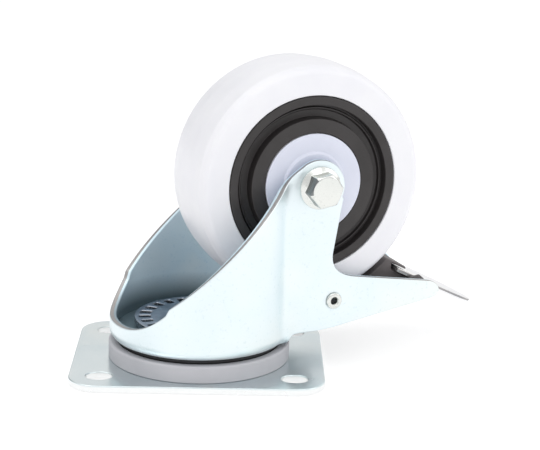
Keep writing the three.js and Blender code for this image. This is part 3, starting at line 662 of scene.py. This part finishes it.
def build_fork():
    """Drum wall and wings from one unrolled sheet, and the crown across the drum's bottom."""
    loops = [fork_outline()]
    straight = along_sheet(60) - 60
    for side in (-1, 1):
        loops.append(hole(side * (TRAIL + straight), AXLE_HEIGHT, BOLT["radius"] + GAP))
        loops.append(hole(side * (PIVOT_X + straight), PIVOT_Z, PIVOT_HOLE))
    wall = sheet("fork", loops, SHEET, 0.5, fork_bend, FORK, spacing=1.8, sharp=50)
    bore, low = DRUM["bore"], DRUM["bottom"]
    rim = DRUM["radius"] - DRUM["bottom_bend"] + 0.4
    high = low + SHEET
    profile = rounded([(bore, low), (rim, low, 0.6), (rim, high, 0.2), (bore, high)], 0.3)
    crown = revolve("crown", profile, 96, FORK, "Z")
    for polygon in crown.data.polygons:
        polygon.material_index = INNER if polygon.normal.z > -0.5 else OUTER
    hand_in(union(wall, crown), "fork", FORK_ZINC, "fork", edge=SHEARED_EDGE, inside=FORK_INSIDE_PAINTED_SHADE)


# ---- axle -----------------------------------------------------------------------------------


def side_profile(profile, side):
    """The profile of the far side, side 1, or its mirror image for the near side, side -1."""
    return profile if side > 0 else [(r, -y) for r, y in reversed(profile)]


def hexagon(name, base, end, bore):
    """Hexagonal prism along Y whose corners a 30 degree cone cuts back at its end, as one closed
    mesh. Two of its flats, and the chamfer at one of them, are in the edge zone, which takes a
    painted dark reflection."""
    flat = BOLT["flats"] / 2
    corner = flat * 2 / math.sqrt(3)
    inner = flat - 0.35
    outward = 1 if end > base else -1
    steps = 144
    chamfer, brow, side = 2, 3, 4  # the band that starts at each of these rows
    # From 129 degrees the flats, and one flat's chamfer, take a painted dark reflection.
    painted_from, painted_until = 129, {chamfer: 189, brow: 189, side: 249}
    bm = bmesh.new()
    rings = []
    for k in range(steps):
        angle = 2 * math.pi * k / steps
        within = (angle - math.radians(BOLT["turn"]) + math.pi / 6) % (math.pi / 3) - math.pi / 6
        reach = min(flat / math.cos(math.pi / 6 - abs(within)), corner - 0.12)
        drop = (reach - inner) * math.tan(math.radians(30))
        rows = [(bore, end), (inner - 0.4, end), (inner, end - outward * 0.06),
                (reach - 0.15, end - outward * (drop - 0.06)),
                (reach, end - outward * (drop + 0.12)), (reach, base), (bore, base)]
        rings.append([bm.verts.new((r * math.cos(angle), y, r * math.sin(angle)))
                      for r, y in rows])
    for i, (ring, following) in enumerate(zip(rings, rings[1:] + rings[:1])):
        for j in range(len(ring)):
            k = (j + 1) % len(ring)
            face = bm.faces.new((ring[j], following[j], following[k], ring[k]))
            painted_dark = painted_from <= 360 * i / steps < painted_until.get(j, 0)
            face.material_index = EDGE if painted_dark else OUTER
    return finished(name, bm, AXLE, sharp=20)


def build_bolt():
    """Flange bolt: chamfered hexagon, dished flange and a threaded shank."""
    radius, rim, flat = BOLT["radius"], BOLT["flange"], BOLT["flats"] / 2
    seat = WING["outer"] + 0.1
    tip = WING["outer"] + WASHER["thickness"] + BOLT["nut"] + BOLT["tail"]
    head = hexagon("axle_bolt", -seat - 1.5, -seat - BOLT["head"], 0.001)
    dish = rounded([
        (0, -seat - 2.9), (flat - 0.6, -seat - 2.9, 0.5), (flat + 0.9, -seat - 1.9, 1.2),
        (rim, -seat - BOLT["flange_edge"], 0.35), (rim, -seat, 0.25), (0, -seat)], 0.0)
    flange = revolve("flange", dish, 96, AXLE, sharp=30)
    start, pitch, root = THREAD["start"], THREAD["pitch"], radius - THREAD["depth"]
    thread = [(0, -seat - 0.5), (radius, -seat - 0.5), (radius, start)]
    for k in range(int((tip - THREAD["run_out"] - start) / pitch)):
        thread += [(radius, start + (k + 0.15) * pitch), (root, start + (k + 0.5) * pitch),
                   (radius, start + (k + 0.85) * pitch)]
    thread += [(radius, tip - 1.0), (radius - 0.8, tip), (0, tip)]
    shank = revolve("shank", thread, 40, AXLE, sharp=25)
    hand_in(union(head, flange, shank), "fork", BOLT_ZINC, "axle_bolt", edge=BOLT_PAINTED_REFLECTION)


def build_nut():
    """Hexagon nut on the bolt's far end."""
    seat = WING["outer"] + WASHER["thickness"] + 0.1
    nut = hexagon("lock_nut", seat, seat + BOLT["nut"], BOLT["radius"] + GAP)
    hand_in(nut, "fork", BOLT_ZINC, "lock_nut", edge=BOLT_PAINTED_REFLECTION)


def build_washer():
    """Plain washer under the nut."""
    near = WING["outer"] + 0.05
    far = near + WASHER["thickness"]
    inner, outer = BOLT["radius"] + GAP, WASHER["radius"]
    profile = rounded([(inner, near), (outer, near), (outer, far), (inner, far)], 0.35)
    hand_in(revolve("nut_washer", profile, 64, AXLE), "fork", BOLT_ZINC, "nut_washer")


def build_rivets():
    """Hollow rivets, rolled over on the wing's outer face."""
    bore, shank, head = (PIVOT_RIVET[k] for k in ("bore", "shank", "head"))
    inner, seat = CHEEK["inner"] - 0.2, WING["outer"] + 0.1
    profile = rounded([
        (bore, inner), (shank, inner), (shank, seat, 0.1), (head, seat, 0.3),
        (head - 0.3, seat + 0.9, 0.5), (bore + 0.5, seat + 1.1, 0.5),
        (bore, seat + 0.4, 0.4)], 0.15)
    for side, word in ((-1, "near"), (1, "far")):
        rivet = revolve(f"brake_rivet_{word}", side_profile(profile, side), 48, PIVOT)
        hand_in(rivet, "fork", BOLT_ZINC, f"brake_rivet_{word}")


# ---- wheel ----------------------------------------------------------------------------------


def build_wheel():
    """Moulded wheel with a crowned tread and a recess in each face for its guard."""
    radius, half, hub, bore = WHEEL["radius"], WHEEL["half"], WHEEL["hub"], WHEEL["bore"]
    rim = GUARD["outer"] + GAP
    recess = half - WHEEL["recess"]
    side = [
        (bore, half - 0.5, 0.3), (hub, half - 0.5, 0.3), (hub, recess, 1), (rim, recess, 1),
        (rim, half, 0.5), (WHEEL["face"] + 1, half, 3), (radius - 0.9, half - 3.8, 2.5),
        (radius, half - 13, 20)]
    far = [(r, -y, c) for r, y, c in reversed(side)]
    profile = rounded(side + far, 0.3, 8)[::-1]
    wheel = revolve("wheel_body", profile, 160, AXLE, sharp=50)
    hand_in(wheel, "wheel", WHITE_PLASTIC, "wheel_body")


def build_guards():
    """Ringed cover: flat rim, groove, ledge, deep groove and a flat inner band."""
    face = WHEEL["half"]
    back, floor = face - 2, face - GUARD["floor"]
    ledge, groove = face - GUARD["ledge"], face - GUARD["groove"]
    inner, outer = GUARD["inner"], GUARD["outer"]
    profile = rounded([
        (inner, back), (25.8, back), (26.2, floor), (33.2, floor), (33.8, back), (outer, back),
        (outer, face, 0.6), (33, face - 0.2, 0.5), (32.7, groove, 0.2), (32, groove, 0.2),
        (31.8, ledge, 0.3), (31.1, ledge, 0.3), (30.7, floor + 0.6, 0.4), (27.7, floor + 0.6, 0.4),
        (27.3, face, 0.4), (inner, face, 0.3)], 0.3)
    for side, word in ((-1, "near"), (1, "far")):
        guard = revolve(f"thread_guard_{word}", side_profile(profile, side), 144, AXLE, sharp=30)
        hand_in(guard, "wheel", BLACK_PLASTIC, f"thread_guard_{word}")


def build_hub_caps():
    """Disc over each bearing, with a low boss in its middle."""
    bore, boss, outer = (HUB_CAP[k] for k in ("bore", "boss", "outer"))
    under = WHEEL["half"] - 0.35
    face = under + HUB_CAP["rise"]
    top = face + HUB_CAP["boss_rise"]
    profile = rounded([
        (bore, under), (outer, under), (outer, face, 0.3), (boss, face, 0.4), (boss - 1, top, 0.4),
        (bore, top, 0.3)], 0.1)
    for side, word in ((-1, "near"), (1, "far")):
        cap = revolve(f"hub_cap_{word}", side_profile(profile, side), 96, AXLE)
        hand_in(cap, "wheel", LILAC_PLASTIC, f"hub_cap_{word}")


# ---- brake ----------------------------------------------------------------------------------


def tongue_top(x):
    """Height of the tongue's upper face at x."""
    return TONGUE["top"] - TONGUE["slope"] * x


def build_lever():
    """The pedal: sloping tongue, web under the wheel and two cheeks on the pivot."""
    half, nose, tip, start = TONGUE["half"], TONGUE["nose"], TONGUE["tip"], TONGUE["start"]
    stretch = math.hypot(1, TONGUE["slope"])
    normal = (TONGUE["slope"] / stretch, 1 / stretch)
    plan = [(start, half), (start, -half)]
    plan += [(tip - nose + nose * math.cos(a), half * math.sin(a))
             for a in np.linspace(-math.pi / 2, math.pi / 2, 33)]

    def slant(u, v, d):
        lift = d - TONGUE["thickness"] / 2
        return u + lift * normal[0], v, tongue_top(u) + lift * normal[1]

    tongue = sheet("brake_lever", [dense(plan, 3)], TONGUE["thickness"], 0.5, slant, FORK)
    low, middle = WEB["bottom"], WEB["bottom"] + WEB["thickness"] / 2
    wide, narrow = CHEEK["outer"] - 0.05, half - 0.1
    web_plan = [(WEB["left"], -wide), (95.5, -wide), (101.5, -narrow), (101.5, narrow),
                (95.5, wide), (WEB["left"], wide)]

    def rise(u, v, d):
        return u, v, middle + max(0.0, u - WEB["kink"]) * WEB["slope"] + d

    web = sheet("web", [dense(rounded(web_plan, 2), 3)], WEB["thickness"], 0.4, rise, FORK,
                spacing=3)
    side = [(45, low), (60, low), (97, low + 4.48), (97, 29.4), (60, 35)]
    side += curve((60, 35), (52, 36.6), (46.5, 34.2)) + curve((46.5, 34.2), (43, 31), (43.4, 27))
    thickness = CHEEK["outer"] - CHEEK["inner"]
    middle_y = (CHEEK["outer"] + CHEEK["inner"]) / 2
    cheeks = [sheet("cheek", [dense(side, 2), hole(PIVOT_X, PIVOT_Z, PIVOT_HOLE)], thickness, 0.4,
                    flat_side(sign * middle_y), FORK) for sign in (-1, 1)]
    hand_in(union(tongue, web, *cheeks), "brake", LEVER_STEEL, "brake_lever", edge=SHEARED_EDGE)


def over_web(x):
    """Height of the web's upper face at x, with the clearance over it."""
    base = WEB["bottom"] + WEB["thickness"] + GAP
    return base + max(0, x - WEB["kink"]) * WEB["rise"] / (WEB["right"] - WEB["kink"])


def build_shoe():
    """Wedge under the wheel, slit for the tongue, with an ear at each side of the tongue."""
    reach = WHEEL["radius"] + SHOE["gap"]
    low, high, cover, slit = SHOE["low"], SHOE["high"], SHOE["cover"], SHOE["slit"]
    body_end, cover_end = SHOE["body_end"], SHOE["cover_end"]
    start = TONGUE["start"] - SHOE["window"]
    drop = TONGUE["thickness"] * math.hypot(1, TONGUE["slope"]) + GAP
    first, last = (-math.acos((x - TRAIL) / reach) for x in (high, low))
    shape = [(low, over_web(low), 0.4), (body_end, over_web(body_end), 0.3),
             (body_end, tongue_top(body_end) - drop, 0.3),
             (start, tongue_top(start) - drop, 0.3), (start, tongue_top(start) + slit, 0.2),
             (cover_end, tongue_top(cover_end) + slit, 0.25),
             (cover_end - 0.6, tongue_top(cover_end - 0.6) + cover, 0.5),
             (high + 1.2, tongue_top(high + 1.2) + cover, 1.2)]
    shape += [(x, z, 0) for x, z in arc(TRAIL, AXLE_HEIGHT, reach, first, last, 16)]
    side = [dense(rounded(shape, 0.3), 1.2)]
    wedge = sheet("brake_shoe", side, 2 * SHOE["half"], 0.6, flat_side(0), FORK)
    left, right, peak, end = (EAR[k] for k in ("left", "right", "peak", "bridge_end"))
    ear = [(left, over_web(left)), (right - 1, over_web(right - 1)), (right, tongue_top(right)),
           (peak, tongue_top(peak) + EAR["rise"], 0.8), (left, tongue_top(left) - 1.8)]
    bridge = [(left, over_web(left)), (end, over_web(end)), (end, tongue_top(end) - drop),
              (left, tongue_top(left) - drop)]
    inner, outer = SHOE["half"] - 1, EAR["outer"] - 0.3
    extras = []
    for sign in (-1, 1):
        middle = sign * (EAR["inner"] + EAR["outer"]) / 2
        extras.append(sheet("ear", [dense(rounded(ear, 0.3), 1)], EAR["outer"] - EAR["inner"], 0.3,
                            flat_side(middle), FORK))
        extras.append(sheet("bridge", [dense(rounded(bridge, 0.15), 1)], outer - inner, 0.1,
                            flat_side(sign * (inner + outer) / 2), FORK))
    hand_in(union(wedge, *extras), "brake", SHOE_PLASTIC, "brake_shoe")


def build_pawl():
    """Leaf with three teeth that stand over the lock disc's slots."""
    left, right, half = PAWL["left"], PAWL["right"], PAWL["half"]
    middle = WEB["bottom"] + WEB["thickness"] + GAP / 2 + PAWL["thickness"] / 2
    corners = [(left, -half), (right, -half), (right, half), (left, half)]
    loops = [dense(rounded(corners, 1), 2)]
    loops += [hole(PAWL_RIVET["x"], side * PAWL_RIVET["y"], SMALL_RIVET["hole"], 24)
              for side in (-1, 1)]
    leaf = sheet("lock_pawl", loops, PAWL["thickness"], 0.25, flat_plan(middle), FORK)
    height = middle - PAWL["tooth_tip"]
    near, far, wide = PAWL["tooth_in"], PAWL["tooth_out"], PAWL["tooth"] / 2
    tooth = rounded([(near, -wide), (far, -wide), (far, wide), (near, wide)], 0.3, 2)
    teeth = []
    for step in (-1, 0, 1):
        turned = FORK @ Matrix.Rotation(2 * math.pi * step / DISC["slots"], 4, "Z")
        plan = flat_plan(PAWL["tooth_tip"] + height / 2)
        teeth.append(sheet("tooth", [tooth], height, 0.2, plan, turned))
    hand_in(union(leaf, *teeth), "brake", DARK_STEEL, "lock_pawl")


def build_small_rivets():
    """Two rivets that hold the pawl on the web, and one that holds the spring on the crown."""
    shank, head, rise = SMALL_RIVET["shank"], SMALL_RIVET["head"], SMALL_RIVET["rise"]

    def upper_head(high):
        return [(shank, high - rise, 0.05), (head, high - rise, 0.05), (head, high - 0.5),
                (head * 0.7, high), (0, high, 0)]

    low, high = WEB["bottom"] - 1, WEB["bottom"] + WEB["thickness"] + PAWL["thickness"] + 1.2
    both = rounded([(0, low, 0), (head - 0.5, low), (head, low + 0.4), (head, low + rise, 0.05),
                    (shank, low + rise, 0.05)] + upper_head(high), 0.2)
    for side, word in ((-1, "left"), (1, "right")):
        at = FORK @ Matrix.Translation((PAWL_RIVET["x"], side * PAWL_RIVET["y"], 0))
        rivet = revolve(f"pawl_rivet_{word}", both, 32, at, "Z")
        hand_in(rivet, "brake", BOLT_ZINC, f"pawl_rivet_{word}")
    low, high = DRUM["bottom"] + 0.1, DRUM["bottom"] + SHEET + 2.2
    one = rounded([(0, low, 0), (shank, low, 0.1)] + upper_head(high), 0.2)
    at = FORK @ Matrix.Translation((SPRING_RIVET_X, 0, 0))
    hand_in(revolve("spring_rivet", one, 32, at, "Z"), "fork", BOLT_ZINC, "spring_rivet")


def build_spring():
    """Bent leaf from the crown to the lever's web."""
    foot = DRUM["bottom"] + SHEET + GAP
    tip = WEB["bottom"] - GAP - SPRING["thickness"]
    xs = [SPRING["foot_left"], SPRING["foot_right"], SPRING["bend"], SPRING["end"]]
    zs = [foot, foot, tip, tip]
    left, right, half = xs[0], xs[-1], SPRING["half"]
    corners = [(left, -half), (right, -half), (right, half), (left, half)]
    loops = [dense(rounded(corners, 1), 1), hole(SPRING_RIVET_X, 0, SMALL_RIVET["hole"], 24)]

    def bent(u, v, d):
        return u, v, float(np.interp(u, xs, zs)) + SPRING["thickness"] / 2 + d

    leaf = sheet("detent_spring", loops, SPRING["thickness"], 0.2, bent, FORK, spacing=1)
    hand_in(leaf, "fork", DARK_STEEL, "detent_spring")


for build in (build_top_plate, build_seal, build_lip, build_king_pin, build_lock_disc, build_fork,
              build_bolt, build_nut, build_washer, build_rivets, build_wheel, build_guards,
              build_hub_caps, build_lever, build_shoe, build_pawl, build_small_rivets,
              build_spring):
    build()

# The ball rings, bearing races and sleeve keep their CAD shape.
for entry in frame["record"]["subparts"]:
    if entry["material_slot"] == "bright_steel" and entry["node"] != "king_pin":
        node = frame["nodes"][entry["node"]]
        node.data.materials.clear()
        node.data.materials.append(BRIGHT_STEEL)

# ---- stage ----------------------------------------------------------------------------------

CAMERA = dict(azimuth=-1.01, elevation=14.8, roll=1.35, distance=729.1, target=(28.9, 0, 59.9),
              lens=116.63)
FLOOR = dict(size=8, height=-0.0002, glow=0.56)
PATCH_DIRECTION = (-0.66, 0.71, 0.22)


def add_camera():
    """The camera looks at its target from azimuth and elevation, turned by roll about its view."""
    a, e, roll = (math.radians(CAMERA[k]) for k in ("azimuth", "elevation", "roll"))
    back = Vector((math.sin(a) * math.cos(e), -math.cos(a) * math.cos(e), math.sin(e)))
    right = Vector((math.cos(a), math.sin(a), 0))
    up = back.cross(right)
    across = math.cos(roll) * right + math.sin(roll) * up
    upwards = math.cos(roll) * up - math.sin(roll) * right
    where = (Vector(CAMERA["target"]) + back * CAMERA["distance"]) * MM
    data = bpy.data.cameras.new("camera")
    data.lens = CAMERA["lens"]
    data.sensor_width = 36
    data.clip_start = 0.01
    camera = bpy.data.objects.new("camera", data)
    turned = Matrix((across, upwards, back)).transposed().to_4x4()
    camera.matrix_world = Matrix.Translation(where) @ turned
    bpy.context.scene.collection.objects.link(camera)
    bpy.context.scene.camera = camera


def add_light(name, location, target, size, power):
    """A white rectangular light that faces its target."""
    data = bpy.data.lights.new(name, "AREA")
    data.shape = "RECTANGLE"
    data.size, data.size_y = size
    data.energy = power
    light = bpy.data.objects.new(name, data)
    light.location = location
    ahead = Vector(target) - Vector(location)
    light.rotation_euler = ahead.to_track_quat("-Z", "Y").to_euler()
    bpy.context.scene.collection.objects.link(light)


def add_floor():
    """Pale paper that glows enough to look as white as a cut-out background."""
    bpy.ops.mesh.primitive_plane_add(size=FLOOR["size"], location=(0, 0, FLOOR["height"]))
    floor = bpy.context.object
    floor.name = "floor"
    material, nodes, links, shader = new_material("floor_paper")
    fibres = noise(nodes, links, 6)
    tone = ramp(nodes, links, fibres, [(0.3, (0.54, 0.54, 0.54)), (0.7, (0.56, 0.56, 0.56))])
    links.new(tone, shader.inputs["Base Color"])
    shader.inputs["Roughness"].default_value = 0.9
    shader.inputs["Emission Color"].default_value = (1, 1, 1, 1)
    shader.inputs["Emission Strength"].default_value = FLOOR["glow"]
    floor.data.materials.append(material)


def add_world():
    """Even white light with a grey patch, far off on the left behind the castor, for the metals to
    mirror."""
    world = bpy.data.worlds.new("studio")
    world.use_nodes = True
    bpy.context.scene.world = world
    nodes, links = world.node_tree.nodes, world.node_tree.links
    where = nodes.new("ShaderNodeTexCoord")
    towards = nodes.new("ShaderNodeVectorMath")
    towards.operation = "DOT_PRODUCT"
    towards.inputs[1].default_value = Vector(PATCH_DIRECTION).normalized()
    links.new(where.outputs["Generated"], towards.inputs[0])
    tone = ramp(nodes, links, towards.outputs["Value"],
                [(0.86, (1.0, 1.0, 1.0)), (0.95, (0.45, 0.47, 0.48))])
    links.new(tone, nodes["Background"].inputs["Color"])
    nodes["Background"].inputs["Strength"].default_value = 0.84


add_camera()
add_world()
add_floor()
add_light("key", (0.5, -0.9, 1.1), (0.02, 0, 0.05), (0.9, 0.9), 2.6)
add_light("top", (-0.45, -0.1, 1.1), (0, 0, 0.05), (0.8, 0.8), 2.6)
add_light("side", (1.1, -0.3, 0.6), (0.02, 0, 0.06), (0.6, 0.9), 1.5)
bpy.context.scene.view_settings.view_transform = "Standard"
